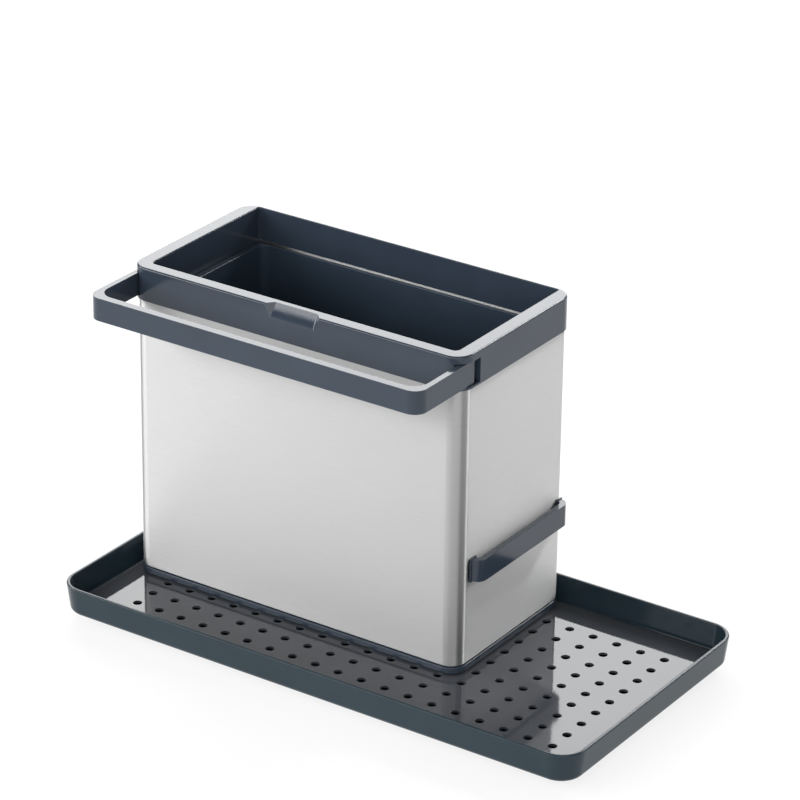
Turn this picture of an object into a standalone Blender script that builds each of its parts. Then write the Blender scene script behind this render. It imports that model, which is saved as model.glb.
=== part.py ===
"""Sink organizer: a drip tray with a perforated drip plate, and a lift-off caddy.

The caddy is a brushed steel sleeve between a moulded base and a moulded collar.
A liner hangs in the collar, a towel rail slides out of it, and a bar is clipped
to the right side of the sleeve. Units are metres, +Z is up, +X runs to the right
of the front and the front faces -Y. The origin is under the middle of the tray.
"""

import math

import bmesh
import bpy

# Running gap between pieces that touch or slide
CLEARANCE = 0.0003
# How far a cutter runs past the face that it opens
OVERRUN = 0.002
MERGE_DISTANCE = 0.00001

# Drip tray
TRAY_LENGTH = 0.2884
TRAY_DEPTH = 0.1486
TRAY_HEIGHT = 0.015
TRAY_CORNER = 0.013
TRAY_WALL = 0.00185
TRAY_LEDGE = 0.0016
TRAY_DRAFT = math.radians(6.5)
TRAY_EDGE_ROUND = 0.0007
TRAY_HEEL_ROUND = 0.003
TRAY_TOE_ROUND = 0.0014
WELL_INSET = 0.010
WELL_DROP = 0.0025
WELL_WALL = 0.0016
WELL_ROUND = 0.0006
STUD_RADIUS = 0.003
STUD_COLUMNS = 5
STUD_ROWS = 3

# Non-slip feet under the tray
FOOT_RADIUS = 0.007
FOOT_PROUD = 0.001
FOOT_SUNK = 0.0006
FOOT_MARGIN = 0.012
FOOT_ROUND = 0.0003

# Perforated drip plate
PLATE_THICKNESS = 0.0012
PLATE_MARGIN = 0.0025
HOLE_RADIUS = 0.0022
HOLE_PITCH = 0.013
HOLE_ROW_PITCH = 0.0122
HOLE_LEFT_MARGIN = 0.0241
HOLE_RIGHT_MARGIN = 0.018
HOLE_FRONT_MARGIN = 0.0187
HOLE_BACK_MARGIN = 0.018

# Place of the caddy on the tray, from the tray's rim to the sleeve
CADDY_LEFT_MARGIN = 0.0097
CADDY_BACK_MARGIN = 0.0059

# Steel sleeve
SLEEVE_WIDTH = 0.185
SLEEVE_DEPTH = 0.092
SLEEVE_HEIGHT = 0.1402
SLEEVE_CORNER = 0.008
SLEEVE_WALL = 0.0006
HEM_WIDTH = 0.0030
HEM_BEND = 0.0008

# Caddy base
BASE_LEDGE_HEIGHT = 0.0032
BASE_PROUD = 0.0001
BASE_EDGE_ROUND = 0.0005
BASE_NECK_HEIGHT = 0.0003
BASE_NECK_INSET = 0.0014
BASE_FLOOR = 0.002
BASE_UPSTAND_HEIGHT = 0.0035
BASE_UPSTAND_WALL = 0.0018
PAD_RADIUS = 0.006
PAD_PROUD = 0.0003
PAD_SUNK = 0.0009
PAD_MARGIN = 0.014

# Collar round the top of the sleeve
COLLAR_PROUD = 0.0009
COLLAR_FLOOR = 0.001
COLLAR_FLANGE = 0.0037
COLLAR_SKIRT = 0.0022
COLLAR_INNER_WALL = 0.0027
COLLAR_FRONT_WIDTH = 0.007
COLLAR_BACK_WALL = 0.0018
COLLAR_EDGE_ROUND = 0.001
COLLAR_LIP_EDGE = 0.0004
COLLAR_FRONT_CORNER = 0.0025
COLLAR_BACK_CORNER = 0.0006
SKIRT_START = 0.0139
LOCATING_LIP_DROP = 0.003
LOCATING_LIP_WALL = 0.0012

# Thumb scoop in the middle of the collar's front edge
SCOOP_HALF_WIDTH = 0.0163
SCOOP_BLEND = 0.005
SCOOP_DEPTH = 0.004
SCOOP_HEIGHT = 0.007

# Liner that hangs in the collar
LINER_DROP = 0.0177
LINER_WALL = 0.0016
LINER_LIP = 0.0016
LINER_FLOOR = 0.002
LINER_FLOOR_GAP = 0.001
LINER_CORNER = 0.006
LINER_HEEL_ROUND = 0.004
LINER_DRAFT = math.radians(0.6)
LEDGE_WIDTH = 0.002
LEDGE_THICKNESS = 0.0018

# Towel rail
RAIL_REACH = 0.034
RAIL_HEIGHT = 0.0115
RAIL_THICKNESS = 0.004
RAIL_CORNER = 0.0065
RAIL_INNER_CORNER = 0.0078
RAIL_EDGE_ROUND = 0.0006
ARM_THICKNESS = 0.0029
ARM_RECESS = 0.0011
ARM_OVERLAP = 0.0116
TONGUE_THICKNESS = 0.0022
TONGUE_LENGTH = 0.0484
TONGUE_END_GAP = 0.002

# Bar on the right side of the sleeve
BAR_STANDOFF = 0.006
BAR_THICKNESS = 0.003
BAR_HEIGHT = 0.011
BAR_LENGTH = 0.0765
BAR_FRONT = 0.010
BAR_RISE = 0.0425
BAR_CORNER = 0.005
BAR_INNER_CORNER = 0.002
BAR_EDGE_ROUND = 0.0004
TAB_THICKNESS = 0.0014
TAB_HEIGHT = 0.007
TAB_REACH = 0.0018
TAB_HOOK = 0.0006
FOOT_PLATE_THICKNESS = 0.0008
FOOT_PLATE_REACH = 0.0009
FOOT_PLATE_PROUD = 0.0006

# Facets of the round stretches
CORNER_STEPS = 6
FILLET_STEPS = 4
HOLE_SIDES = 9
FOOT_SIDES = 20
STUD_SIDES = 12
SCOOP_STEPS = 6
# Least corner radius of an outline that is drawn in, as a share of its own
LEAST_CORNER_SHARE = 0.05
SMOOTH_ANGLE = math.radians(35)

# Colours: linear red, green and blue, with roughness and metallic value
FINISHES = {
    "anthracite_gloss": ((0.045, 0.055, 0.065, 1.0), 0.18, 0.0),
    "anthracite_liner": ((0.030, 0.038, 0.048, 1.0), 0.35, 0.0),
    "plate_gloss": ((0.040, 0.050, 0.060, 1.0), 0.08, 0.0),
    "brushed_steel": ((0.60, 0.60, 0.60, 1.0), 0.32, 1.0),
    "grey_silicone": ((0.10, 0.10, 0.11, 1.0), 0.75, 0.0),
}

# Levels and places worked out from the sizes
WALL_BOTTOM = FOOT_PROUD + WELL_DROP
TRAY_TOP = WALL_BOTTOM + TRAY_HEIGHT
TRAY_LEDGE_TOP = WALL_BOTTOM + TRAY_LEDGE
WELL_FLOOR_TOP = TRAY_LEDGE_TOP - WELL_DROP
HEEL_INSET = TRAY_HEIGHT * math.tan(TRAY_DRAFT)
PLATE_BOTTOM = TRAY_LEDGE_TOP + CLEARANCE
PLATE_TOP = PLATE_BOTTOM + PLATE_THICKNESS
INNER_LEDGE_INSET = TRAY_WALL + (TRAY_TOP - TRAY_LEDGE_TOP) * math.tan(TRAY_DRAFT)
PLATE_INSET = INNER_LEDGE_INSET + PLATE_MARGIN
CADDY_X = CADDY_LEFT_MARGIN + (SLEEVE_WIDTH - TRAY_LENGTH) / 2
CADDY_Y = (TRAY_DEPTH - SLEEVE_DEPTH) / 2 - CADDY_BACK_MARGIN
CADDY_Z = PLATE_TOP + CLEARANCE

BASE_BOTTOM = PAD_PROUD
BASE_LEDGE_TOP = BASE_BOTTOM + BASE_LEDGE_HEIGHT
BASE_NECK_TOP = BASE_LEDGE_TOP + BASE_NECK_HEIGHT
BASE_FLOOR_TOP = BASE_BOTTOM + BASE_FLOOR
BASE_UPSTAND_TOP = BASE_NECK_TOP + BASE_UPSTAND_HEIGHT
SLEEVE_BOTTOM = BASE_NECK_TOP + CLEARANCE
SLEEVE_TOP = SLEEVE_BOTTOM + SLEEVE_HEIGHT
COLLAR_BOTTOM = SLEEVE_TOP + CLEARANCE
RAIL_BOTTOM = COLLAR_BOTTOM + COLLAR_FLOOR + CLEARANCE
RAIL_TOP = RAIL_BOTTOM + RAIL_HEIGHT
FLANGE_BOTTOM = RAIL_TOP + CLEARANCE
COLLAR_TOP = FLANGE_BOTTOM + COLLAR_FLANGE
LINER_TOP = COLLAR_TOP - LINER_DROP
LEDGE_TOP = LINER_TOP - LINER_LIP - CLEARANCE
LEDGE_BOTTOM = LEDGE_TOP - LEDGE_THICKNESS

COLLAR_HALF_WIDTH = SLEEVE_WIDTH / 2 + COLLAR_PROUD
COLLAR_HALF_DEPTH = SLEEVE_DEPTH / 2 + COLLAR_PROUD
CHANNEL_OUTER = COLLAR_HALF_WIDTH - COLLAR_SKIRT
CHANNEL_INNER = CHANNEL_OUTER - TONGUE_THICKNESS - 2 * CLEARANCE
OPENING_HALF_WIDTH = CHANNEL_INNER - COLLAR_INNER_WALL
OPENING_FRONT = COLLAR_FRONT_WIDTH - COLLAR_HALF_DEPTH
OPENING_BACK = COLLAR_HALF_DEPTH - COLLAR_BACK_WALL
SLEEVE_FRONT = -SLEEVE_DEPTH / 2
TONGUE_BACK = SLEEVE_FRONT + ARM_OVERLAP + TONGUE_LENGTH


def clear_scene():
    """Remove every object that the file opened with."""
    for item in list(bpy.data.objects):
        bpy.data.objects.remove(item, do_unlink=True)


def new_collection(name):
    """Make a collection in the scene."""
    collection = bpy.data.collections.new(name)
    bpy.context.scene.collection.children.link(collection)
    return collection


def finish_material(name):
    """Return the named finish as a Principled material of its own."""
    colour, roughness, metallic = FINISHES[name]
    material = bpy.data.materials.new(name)
    material.use_nodes = True
    shader = material.node_tree.nodes["Principled BSDF"]
    shader.inputs["Base Color"].default_value = colour
    shader.inputs["Roughness"].default_value = roughness
    shader.inputs["Metallic"].default_value = metallic
    material.diffuse_color = colour
    return material


def arc(centre, radius, start, end, steps):
    """Points on an arc between two angles, both ends included."""
    points = []
    for step in range(steps + 1):
        angle = start + (end - start) * step / steps
        x = centre[0] + radius * math.cos(angle)
        y = centre[1] + radius * math.sin(angle)
        points.append((x, y))
    return points


def rounded_outline(low, high, front_radius, back_radius, steps=CORNER_STEPS):
    """Plan outline of a rounded rectangle, anticlockwise from its right side."""
    quarter = math.pi / 2
    corners = (
        ((high[0] - back_radius, high[1] - back_radius), back_radius, 0),
        ((low[0] + back_radius, high[1] - back_radius), back_radius, quarter),
        ((low[0] + front_radius, low[1] + front_radius), front_radius, 2 * quarter),
        ((high[0] - front_radius, low[1] + front_radius), front_radius, 3 * quarter),
    )
    points = []
    for centre, radius, start in corners:
        points += arc(centre, radius, start, start + quarter, steps)
    return points


def centred_outline(width, depth, radius):
    """Plan outline of a rounded rectangle about the middle of its frame."""
    low = (-width / 2, -depth / 2)
    high = (width / 2, depth / 2)
    return rounded_outline(low, high, radius, radius)


def mesh_object(name, build, collection, material=None):
    """Make an object from a bmesh and give it its finish."""
    mesh = bpy.data.meshes.new(name)
    bmesh.ops.recalc_face_normals(build, faces=build.faces)
    build.to_mesh(mesh)
    build.free()
    item = bpy.data.objects.new(name, mesh)
    collection.objects.link(item)
    if material is not None:
        mesh.materials.append(material)
    return item


def skin(build, loops, ring=False):
    """Face the stretches between outlines, and close the ends or join them."""
    pairs = list(zip(loops, loops[1:]))
    if ring:
        pairs.append((loops[-1], loops[0]))
    else:
        build.faces.new(loops[0])
        build.faces.new(loops[-1])
    for lower, upper in pairs:
        count = len(lower)
        for index in range(count):
            after = (index + 1) % count
            build.faces.new((lower[index], lower[after], upper[after], upper[index]))


def loft(name, size, corner, profile, collection, material=None, ring=False):
    """Run a profile of (inset, height) points round a rounded rectangle.

    An inset draws the outline in and its corner radius with it. The first and
    last outlines are closed with flat faces, or joined to each other in a ring.
    """
    build = bmesh.new()
    loops = []
    for inset, height in profile:
        radius = max(corner - inset, corner * LEAST_CORNER_SHARE)
        points = centred_outline(size[0] - 2 * inset, size[1] - 2 * inset, radius)
        loops.append([build.verts.new((x, y, height)) for x, y in points])
    skin(build, loops, ring)
    return mesh_object(name, build, collection, material)


def slab(name, outlines, bottom, top, collection, material=None):
    """Fill flat outlines, the first one outside and the rest as holes."""
    curve = bpy.data.curves.new(name + "_outline", "CURVE")
    curve.dimensions = "2D"
    curve.fill_mode = "BOTH"
    curve.extrude = (top - bottom) / 2
    for outline in outlines:
        spline = curve.splines.new("POLY")
        spline.points.add(len(outline) - 1)
        for point, (x, y) in zip(spline.points, outline):
            point.co = (x, y, 0, 1)
        spline.use_cyclic_u = True
    guide = bpy.data.objects.new(name + "_outline", curve)
    collection.objects.link(guide)
    bpy.context.view_layer.update()
    graph = bpy.context.evaluated_depsgraph_get()
    mesh = bpy.data.meshes.new_from_object(guide.evaluated_get(graph))
    bpy.data.objects.remove(guide, do_unlink=True)
    build = bmesh.new()
    build.from_mesh(mesh)
    bpy.data.meshes.remove(mesh)
    bmesh.ops.remove_doubles(build, verts=build.verts, dist=MERGE_DISTANCE)
    bmesh.ops.translate(build, verts=build.verts, vec=(0, 0, (top + bottom) / 2))
    return mesh_object(name, build, collection, material)


def box(name, low, high, collection):
    """Make a box between two corners."""
    outline = [(low[0], low[1]), (high[0], low[1]), (high[0], high[1]), (low[0], high[1])]
    return slab(name, [outline], low[2], high[2], collection)


def disc(name, place, radius, bottom, top, sides, collection, material=None):
    """Make an upright cylinder at a place in plan."""
    build = bmesh.new()
    bmesh.ops.create_cone(
        build, cap_ends=True, segments=sides, radius1=radius, radius2=radius, depth=top - bottom
    )
    bmesh.ops.translate(build, verts=build.verts, vec=(place[0], place[1], (top + bottom) / 2))
    return mesh_object(name, build, collection, material)


def as_tool(item, parent=None):
    """Hide a cutter from renders and show it as wire."""
    item.hide_render = True
    item.display_type = "WIRE"
    if parent is not None:
        item.parent = parent
    return item


def combine(target, tool, operation):
    """Cut a tool from a piece, or join it to the piece."""
    modifier = target.modifiers.new(operation.lower(), "BOOLEAN")
    modifier.operation = operation
    modifier.solver = "EXACT"
    modifier.object = tool


def round_edges(item, width, segments=2):
    """Round the sharp edges of a piece."""
    modifier = item.modifiers.new("rounded_edges", "BEVEL")
    modifier.width = width
    modifier.segments = segments
    modifier.limit_method = "ANGLE"
    modifier.angle_limit = SMOOTH_ANGLE
    modifier.use_clamp_overlap = True


def shade(item):
    """Shade round faces smooth and keep true edges sharp."""
    item.data.shade_smooth()
    item.data.set_sharp_from_angle(angle=SMOOTH_ANGLE)


def corner_places(half_width, half_depth):
    """The four corners of a rectangle about the middle, from the front left."""
    return [
        (-half_width, -half_depth),
        (half_width, -half_depth),
        (half_width, half_depth),
        (-half_width, half_depth),
    ]


def tray_profile():
    """Section of the tray, from under its well, over the rim, to the well's floor."""
    lean = math.tan(TRAY_DRAFT)
    well_outer = HEEL_INSET + WELL_INSET
    well_inner = well_outer + WELL_WALL
    heel_height = WALL_BOTTOM + TRAY_HEEL_ROUND
    heel_inset = (TRAY_TOP - heel_height) * lean + TRAY_HEEL_ROUND
    toe_height = TRAY_LEDGE_TOP + TRAY_TOE_ROUND
    toe_inset = TRAY_WALL + (TRAY_TOP - toe_height) * lean + TRAY_TOE_ROUND
    rim_height = TRAY_TOP - TRAY_EDGE_ROUND
    rim_inset = TRAY_EDGE_ROUND
    back_inset = TRAY_WALL - TRAY_EDGE_ROUND
    quarter = math.pi / 2
    profile = [(well_outer + WELL_ROUND, FOOT_PROUD), (well_outer, FOOT_PROUD + WELL_ROUND)]
    profile.append((well_outer, WALL_BOTTOM))
    heel = arc((heel_inset, heel_height), TRAY_HEEL_ROUND, 3 * quarter, 2 * quarter, FILLET_STEPS)
    profile += heel
    rim = arc((rim_inset, rim_height), TRAY_EDGE_ROUND, 2 * quarter, quarter, FILLET_STEPS - 1)
    profile += rim
    inner = arc((back_inset, rim_height), TRAY_EDGE_ROUND, quarter, 0, FILLET_STEPS - 1)
    profile += inner
    toe = arc((toe_inset, toe_height), TRAY_TOE_ROUND, 2 * quarter, 3 * quarter, FILLET_STEPS)
    profile += toe
    profile.append((well_inner, TRAY_LEDGE_TOP))
    profile.append((well_inner, WELL_FLOOR_TOP + WELL_ROUND))
    profile.append((well_inner + WELL_ROUND, WELL_FLOOR_TOP))
    return profile


def stud_places():
    """Places of the studs that carry the plate over the well."""
    well = HEEL_INSET + WELL_INSET + WELL_WALL
    length = TRAY_LENGTH - 2 * well
    depth = TRAY_DEPTH - 2 * well
    places = []
    for column in range(STUD_COLUMNS):
        for row in range(STUD_ROWS):
            x = length * ((column + 1) / (STUD_COLUMNS + 1) - 1 / 2)
            y = depth * ((row + 1) / (STUD_ROWS + 1) - 1 / 2)
            places.append((x, y))
    return places


def make_tray(parts, tools):
    """The outer tray, with its sunk well, studs and recesses for the feet."""
    tray = loft(
        "drip_tray", (TRAY_LENGTH, TRAY_DEPTH), TRAY_CORNER, tray_profile(), parts,
        finish_material("anthracite_gloss"),
    )
    stud_bottom = WELL_FLOOR_TOP - FOOT_SUNK
    for index, place in enumerate(stud_places()):
        name = f"stud_{index + 1}"
        stud = disc(name, place, STUD_RADIUS, stud_bottom, TRAY_LEDGE_TOP, STUD_SIDES, tools)
        combine(tray, as_tool(stud), "UNION")
    for index, place in enumerate(foot_places()):
        name = f"foot_recess_{index + 1}"
        recess = disc(
            name, place, FOOT_RADIUS + CLEARANCE, FOOT_PROUD - OVERRUN, FOOT_PROUD + FOOT_SUNK,
            FOOT_SIDES, tools,
        )
        combine(tray, as_tool(recess), "DIFFERENCE")
    shade(tray)


def foot_places():
    """Places of the tray's feet, in from the corners of the well."""
    margin = HEEL_INSET + WELL_INSET + FOOT_MARGIN
    return corner_places(TRAY_LENGTH / 2 - margin, TRAY_DEPTH / 2 - margin)


def make_tray_feet(parts):
    """Four silicone feet, glued into the recesses under the tray."""
    top = FOOT_PROUD + FOOT_SUNK - CLEARANCE
    for index, place in enumerate(foot_places()):
        name = f"tray_foot_{index + 1}"
        material = finish_material("grey_silicone")
        foot = disc(name, (0, 0), FOOT_RADIUS, 0, top, FOOT_SIDES, parts, material)
        foot.location = (place[0], place[1], 0)
        round_edges(foot, FOOT_ROUND, 1)
        shade(foot)


def hole_centres(width, depth):
    """Centres of the drain holes in straight rows, as many as the plate takes."""
    first_column = HOLE_LEFT_MARGIN - width / 2
    first_row = HOLE_FRONT_MARGIN - depth / 2
    columns = int((width - HOLE_LEFT_MARGIN - HOLE_RIGHT_MARGIN) / HOLE_PITCH) + 1
    rows = int((depth - HOLE_FRONT_MARGIN - HOLE_BACK_MARGIN) / HOLE_ROW_PITCH) + 1
    centres = []
    for row in range(rows):
        for column in range(columns):
            x = first_column + column * HOLE_PITCH
            centres.append((x, first_row + row * HOLE_ROW_PITCH))
    return centres


def make_plate(parts):
    """The perforated plate that lies on the tray's ledge and studs."""
    width = TRAY_LENGTH - 2 * PLATE_INSET
    depth = TRAY_DEPTH - 2 * PLATE_INSET
    outlines = [centred_outline(width, depth, TRAY_CORNER - PLATE_INSET)]
    turn = 2 * math.pi
    for centre in hole_centres(width, depth):
        outlines.append(arc(centre, HOLE_RADIUS, 0, turn, HOLE_SIDES)[:-1])
    material = finish_material("plate_gloss")
    plate = slab("drip_plate", outlines, 0, PLATE_THICKNESS, parts, material)
    plate.location = (0, 0, PLATE_BOTTOM)
    shade(plate)


def base_profile():
    """Section of the base, from its underside to the floor inside the upstand."""
    upstand_inset = SLEEVE_WALL + HEM_WIDTH + CLEARANCE
    inner_inset = upstand_inset + BASE_UPSTAND_WALL
    return [
        (BASE_EDGE_ROUND - BASE_PROUD, BASE_BOTTOM),
        (-BASE_PROUD, BASE_BOTTOM + BASE_EDGE_ROUND),
        (-BASE_PROUD, BASE_LEDGE_TOP - BASE_EDGE_ROUND),
        (BASE_EDGE_ROUND - BASE_PROUD, BASE_LEDGE_TOP),
        (BASE_NECK_INSET, BASE_LEDGE_TOP),
        (BASE_NECK_INSET, BASE_NECK_TOP),
        (upstand_inset, BASE_NECK_TOP),
        (upstand_inset, BASE_UPSTAND_TOP - BASE_EDGE_ROUND),
        (upstand_inset + BASE_EDGE_ROUND, BASE_UPSTAND_TOP),
        (inner_inset, BASE_UPSTAND_TOP),
        (inner_inset, BASE_FLOOR_TOP),
    ]


def pad_places():
    """Places of the pads, in from the corners of the base."""
    return corner_places(SLEEVE_WIDTH / 2 - PAD_MARGIN, SLEEVE_DEPTH / 2 - PAD_MARGIN)


def make_base(parts, tools, frame):
    """The moulded base, whose upstand fills the foot of the sleeve."""
    base = loft(
        "caddy_base", (SLEEVE_WIDTH, SLEEVE_DEPTH), SLEEVE_CORNER, base_profile(), parts,
        finish_material("anthracite_gloss"),
    )
    base.parent = frame
    for index, place in enumerate(pad_places()):
        name = f"pad_recess_{index + 1}"
        recess = disc(
            name, place, PAD_RADIUS + CLEARANCE, BASE_BOTTOM - OVERRUN, BASE_BOTTOM + PAD_SUNK,
            FOOT_SIDES, tools,
        )
        combine(base, as_tool(recess, frame), "DIFFERENCE")
    shade(base)


def make_base_pads(parts, frame):
    """Four silicone pads, glued into the recesses under the base."""
    top = BASE_BOTTOM + PAD_SUNK - CLEARANCE
    for index, place in enumerate(pad_places()):
        name = f"base_pad_{index + 1}"
        material = finish_material("grey_silicone")
        pad = disc(name, (0, 0), PAD_RADIUS, 0, top, FOOT_SIDES, parts, material)
        pad.parent = frame
        pad.location = (place[0], place[1], 0)
        shade(pad)


def sleeve_profile():
    """Section of the sleeve's wall, with the hem turned in at its foot."""
    quarter = math.pi / 2
    bend = arc((HEM_BEND, SLEEVE_BOTTOM + HEM_BEND), HEM_BEND, 3 * quarter, 2 * quarter, 3)
    hem_end = SLEEVE_WALL + HEM_WIDTH
    profile = [(hem_end, SLEEVE_BOTTOM)]
    profile += bend
    profile.append((0, SLEEVE_TOP))
    profile.append((SLEEVE_WALL, SLEEVE_TOP))
    profile.append((SLEEVE_WALL, SLEEVE_BOTTOM + SLEEVE_WALL))
    profile.append((hem_end, SLEEVE_BOTTOM + SLEEVE_WALL))
    return profile


def bar_leg_middles():
    """Middles of the bar's two legs along the side of the sleeve."""
    front = SLEEVE_FRONT + BAR_FRONT + BAR_THICKNESS / 2
    return front, front + BAR_LENGTH - BAR_THICKNESS


def make_sleeve(parts, tools, frame):
    """The brushed steel sleeve, with two slots for the bar's tabs."""
    sleeve = loft(
        "steel_sleeve", (SLEEVE_WIDTH, SLEEVE_DEPTH), SLEEVE_CORNER, sleeve_profile(), parts,
        finish_material("brushed_steel"), ring=True,
    )
    sleeve.parent = frame
    bottom, top = tab_levels()
    half_slot = TAB_THICKNESS / 2 + TAB_HOOK + CLEARANCE
    for index, middle in enumerate(bar_leg_middles()):
        low = (SLEEVE_WIDTH / 2 - OVERRUN, middle - half_slot, bottom - CLEARANCE)
        high = (SLEEVE_WIDTH / 2 + OVERRUN, middle + half_slot, top + CLEARANCE)
        slot = box(f"tab_slot_{index + 1}", low, high, tools)
        combine(sleeve, as_tool(slot, frame), "DIFFERENCE")
    shade(sleeve)


def collar_profile():
    """Section of the collar's outside, flat below and rounded at its top edge."""
    quarter = math.pi / 2
    centre = (COLLAR_EDGE_ROUND, COLLAR_TOP - COLLAR_EDGE_ROUND)
    profile = [(0, COLLAR_BOTTOM)]
    profile += arc(centre, COLLAR_EDGE_ROUND, 2 * quarter, quarter, FILLET_STEPS)
    return profile


def opening_outline(grow=0):
    """Plan outline of the collar's opening, wider all round by a growth."""
    low = (-OPENING_HALF_WIDTH - grow, OPENING_FRONT - grow)
    high = (OPENING_HALF_WIDTH + grow, OPENING_BACK + grow)
    return rounded_outline(low, high, COLLAR_FRONT_CORNER + grow, COLLAR_BACK_CORNER + grow)


def mouth_chamfer(tools, frame):
    """Cutter that breaks the top edge of the collar's opening."""
    build = bmesh.new()
    levels = (
        (0, COLLAR_TOP - COLLAR_LIP_EDGE),
        (COLLAR_LIP_EDGE, COLLAR_TOP),
        (COLLAR_LIP_EDGE, COLLAR_TOP + OVERRUN),
    )
    loops = []
    for grow, height in levels:
        loops.append([build.verts.new((x, y, height)) for x, y in opening_outline(grow)])
    skin(build, loops)
    return as_tool(mesh_object("mouth_chamfer", build, tools), frame)


def scoop_tool(tools, frame):
    """Cutter for the thumb scoop: S-shaped ends, and a floor that slopes outwards."""
    front = -COLLAR_HALF_DEPTH
    outline = []
    for step in range(SCOOP_STEPS + 1):
        share = step / SCOOP_STEPS
        rise = (1 - math.cos(math.pi * share)) / 2
        x = SCOOP_BLEND * share - SCOOP_HALF_WIDTH
        outline.append((x, front + SCOOP_DEPTH * rise))
    mirrored = [(-x, y) for x, y in reversed(outline)]
    outline += mirrored
    outline.append((SCOOP_HALF_WIDTH, front - SCOOP_DEPTH))
    outline.append((-SCOOP_HALF_WIDTH, front - SCOOP_DEPTH))
    bottom = COLLAR_TOP - SCOOP_HEIGHT
    top = COLLAR_TOP + OVERRUN
    tool = slab("thumb_scoop", [outline], bottom, top, tools)
    slope = SCOOP_DEPTH / SCOOP_HEIGHT
    for vertex in tool.data.vertices:
        vertex.co.y -= (COLLAR_TOP - vertex.co.z) * slope
    return as_tool(tool, frame)


def channel_tools(side, tools, frame):
    """Cutters for one of the rail's channels and for the recess of its arm."""
    inner = side * CHANNEL_INNER
    outer = side * CHANNEL_OUTER
    outside = side * (COLLAR_HALF_WIDTH + OVERRUN)
    front = -COLLAR_HALF_DEPTH - OVERRUN
    bottom = RAIL_BOTTOM - CLEARANCE
    word = "right" if side > 0 else "left"
    low = (min(inner, outer), front, bottom)
    high = (max(inner, outer), TONGUE_BACK + TONGUE_END_GAP, FLANGE_BOTTOM)
    channel = box(f"{word}_channel", low, high, tools)
    low = (min(inner, outside), front, bottom)
    high = (max(inner, outside), SLEEVE_FRONT + SKIRT_START, FLANGE_BOTTOM)
    recess = box(f"{word}_arm_recess", low, high, tools)
    return as_tool(channel, frame), as_tool(recess, frame)


def under_grooves(tools, frame):
    """Cutters that hollow the collar's front wall and the root of its inner wall."""
    lip_inner = SLEEVE_WALL + CLEARANCE + LOCATING_LIP_WALL
    reach = SLEEVE_WIDTH / 2 - lip_inner
    front = SLEEVE_FRONT + lip_inner
    groove_back = OPENING_FRONT - COLLAR_INNER_WALL
    low = (-CHANNEL_INNER, front, LEDGE_BOTTOM - OVERRUN)
    high = (CHANNEL_INNER, groove_back, FLANGE_BOTTOM)
    grooves = [box("front_groove", low, high, tools)]
    back = OPENING_BACK - COLLAR_BACK_WALL
    for side, word in ((-1, "left"), (1, "right")):
        ends = sorted((side * CHANNEL_INNER, side * reach))
        low = (ends[0], front, LEDGE_BOTTOM - OVERRUN)
        high = (ends[1], back, COLLAR_BOTTOM)
        grooves.append(box(f"{word}_groove", low, high, tools))
    return [as_tool(groove, frame) for groove in grooves]


def collar_root(tools, frame):
    """Block under the collar that holds the locating lip and the liner's ledge."""
    inset = SLEEVE_WALL + CLEARANCE
    profile = [(inset, LEDGE_BOTTOM), (inset, COLLAR_BOTTOM + COLLAR_FLOOR / 2)]
    size = (SLEEVE_WIDTH, SLEEVE_DEPTH)
    root = loft("collar_root", size, SLEEVE_CORNER, profile, tools)
    return as_tool(root, frame)


def locating_trim(tools, frame):
    """Cutter that shortens the locating lip to its own depth below the collar."""
    inner = SLEEVE_WALL + CLEARANCE + LOCATING_LIP_WALL
    width = SLEEVE_WIDTH - 2 * inner
    depth = SLEEVE_DEPTH - 2 * inner
    keep = centred_outline(width, depth, SLEEVE_CORNER - inner)
    around = centred_outline(SLEEVE_WIDTH, SLEEVE_DEPTH, SLEEVE_CORNER)
    bottom = LEDGE_BOTTOM - OVERRUN
    top = COLLAR_BOTTOM - LOCATING_LIP_DROP
    return as_tool(slab("locating_trim", [around, keep], bottom, top, tools), frame)


def make_collar(parts, tools, frame):
    """The collar: outer skirt, flange, rail channels, inner wall and liner ledge."""
    size = (2 * COLLAR_HALF_WIDTH, 2 * COLLAR_HALF_DEPTH)
    corner = SLEEVE_CORNER + COLLAR_PROUD
    material = finish_material("anthracite_gloss")
    collar = loft("rim_collar", size, corner, collar_profile(), parts, material)
    collar.parent = frame
    combine(collar, collar_root(tools, frame), "UNION")
    mouth = slab("mouth", [opening_outline()], LEDGE_TOP, COLLAR_TOP + OVERRUN, tools)
    combine(collar, as_tool(mouth, frame), "DIFFERENCE")
    low = (LEDGE_WIDTH - OPENING_HALF_WIDTH, OPENING_FRONT + LEDGE_WIDTH)
    high = (-low[0], OPENING_BACK)
    outline = rounded_outline(low, high, COLLAR_FRONT_CORNER, COLLAR_BACK_CORNER)
    throat = slab("throat", [outline], LEDGE_BOTTOM - OVERRUN, LEDGE_TOP + OVERRUN, tools)
    combine(collar, as_tool(throat, frame), "DIFFERENCE")
    combine(collar, mouth_chamfer(tools, frame), "DIFFERENCE")
    for groove in under_grooves(tools, frame):
        combine(collar, groove, "DIFFERENCE")
    combine(collar, locating_trim(tools, frame), "DIFFERENCE")
    for side in (-1, 1):
        for tool in channel_tools(side, tools, frame):
            combine(collar, tool, "DIFFERENCE")
    combine(collar, scoop_tool(tools, frame), "DIFFERENCE")
    shade(collar)


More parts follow.
